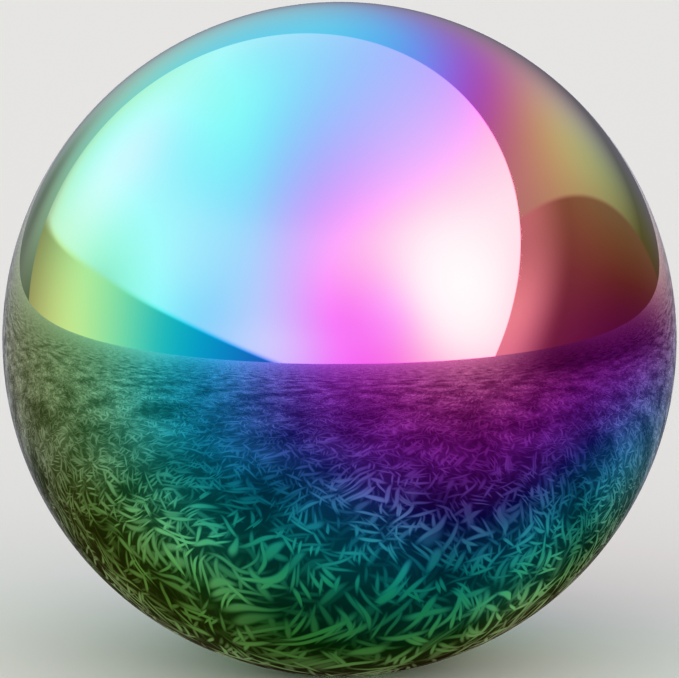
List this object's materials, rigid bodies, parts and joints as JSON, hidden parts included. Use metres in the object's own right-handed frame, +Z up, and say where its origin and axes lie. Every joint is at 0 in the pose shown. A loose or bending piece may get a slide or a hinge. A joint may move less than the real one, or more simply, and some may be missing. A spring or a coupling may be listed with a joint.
{
  "type": "garden gazing ball",
  "caption": "Hollow mirror-polished ball for a garden, pressed as hemispheres welded round the equator, with a rainbow surface film and a plugged vent at the bottom pole.",
  "frame": {"origin": "the ball's centre, on the plane of the equator weld", "axes": "+Z up through the crown of the upper hemisphere, with the vent at the bottom pole on -Z; -Y faces the viewer of the picture"},
  "size_m": [0.25, 0.25, 0.25],
  "materials": {
    "rainbow_mirror_steel": "mirror-polished stainless steel under a thin titanium oxide film, whose interference colour runs from pale gold through magenta, violet, blue and cyan to green round the ball",
    "weld_metal": "stainless steel weld, ground and mirror-polished flush with the ball outside and coated with it; bare root bead inside",
    "plug_rubber": "moulded matt dark silicone rubber"
  },
  "bodies": {
    "root": {"upper_hemisphere": "rainbow_mirror_steel", "lower_hemisphere": "rainbow_mirror_steel", "equator_weld": "weld_metal", "vent_plug": "plug_rubber"}
  },
  "joints": []
}
